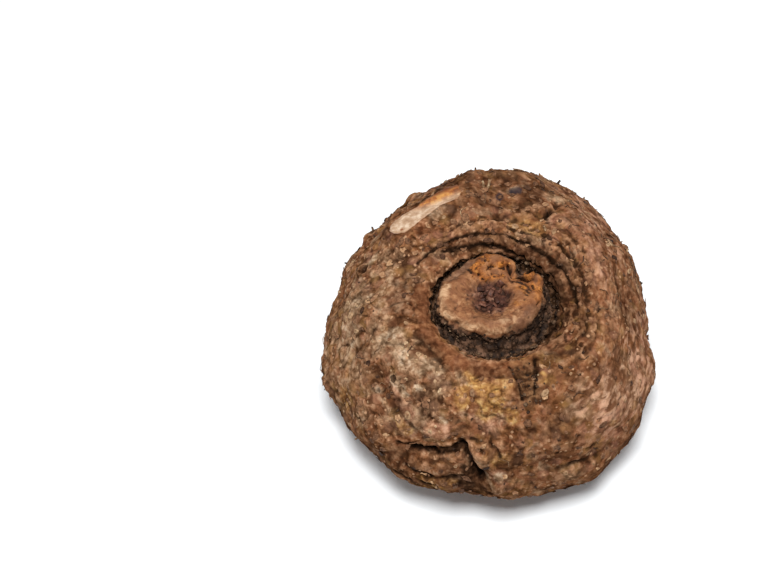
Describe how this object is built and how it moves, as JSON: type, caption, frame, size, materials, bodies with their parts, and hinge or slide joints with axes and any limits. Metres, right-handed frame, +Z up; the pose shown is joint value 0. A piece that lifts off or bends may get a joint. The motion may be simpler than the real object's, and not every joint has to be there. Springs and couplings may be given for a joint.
{
  "type": "elephant foot yam",
  "caption": "Whole elephant foot yam corm: broad, flattened body with rough brown skin, a furrow around the bud's boss in its crown, and a small pared slice on one shoulder.",
  "frame": {"origin": "middle of the corm's plan, on the surface that it rests on", "axes": "+Z up through the crown, -Y towards the front of the corm, where the split in its skin is, +X to its right"},
  "size_m": [0.2206, 0.2396, 0.1137],
  "materials": {
    "skin": "matte",
    "bud": "matte",
    "flesh": "satin",
    "root_scar": "matte",
    "dry_root": "matte",
    "soil": "matte"
  },
  "bodies": {
    "root": {"corm": "skin"}
  },
  "joints": []
}
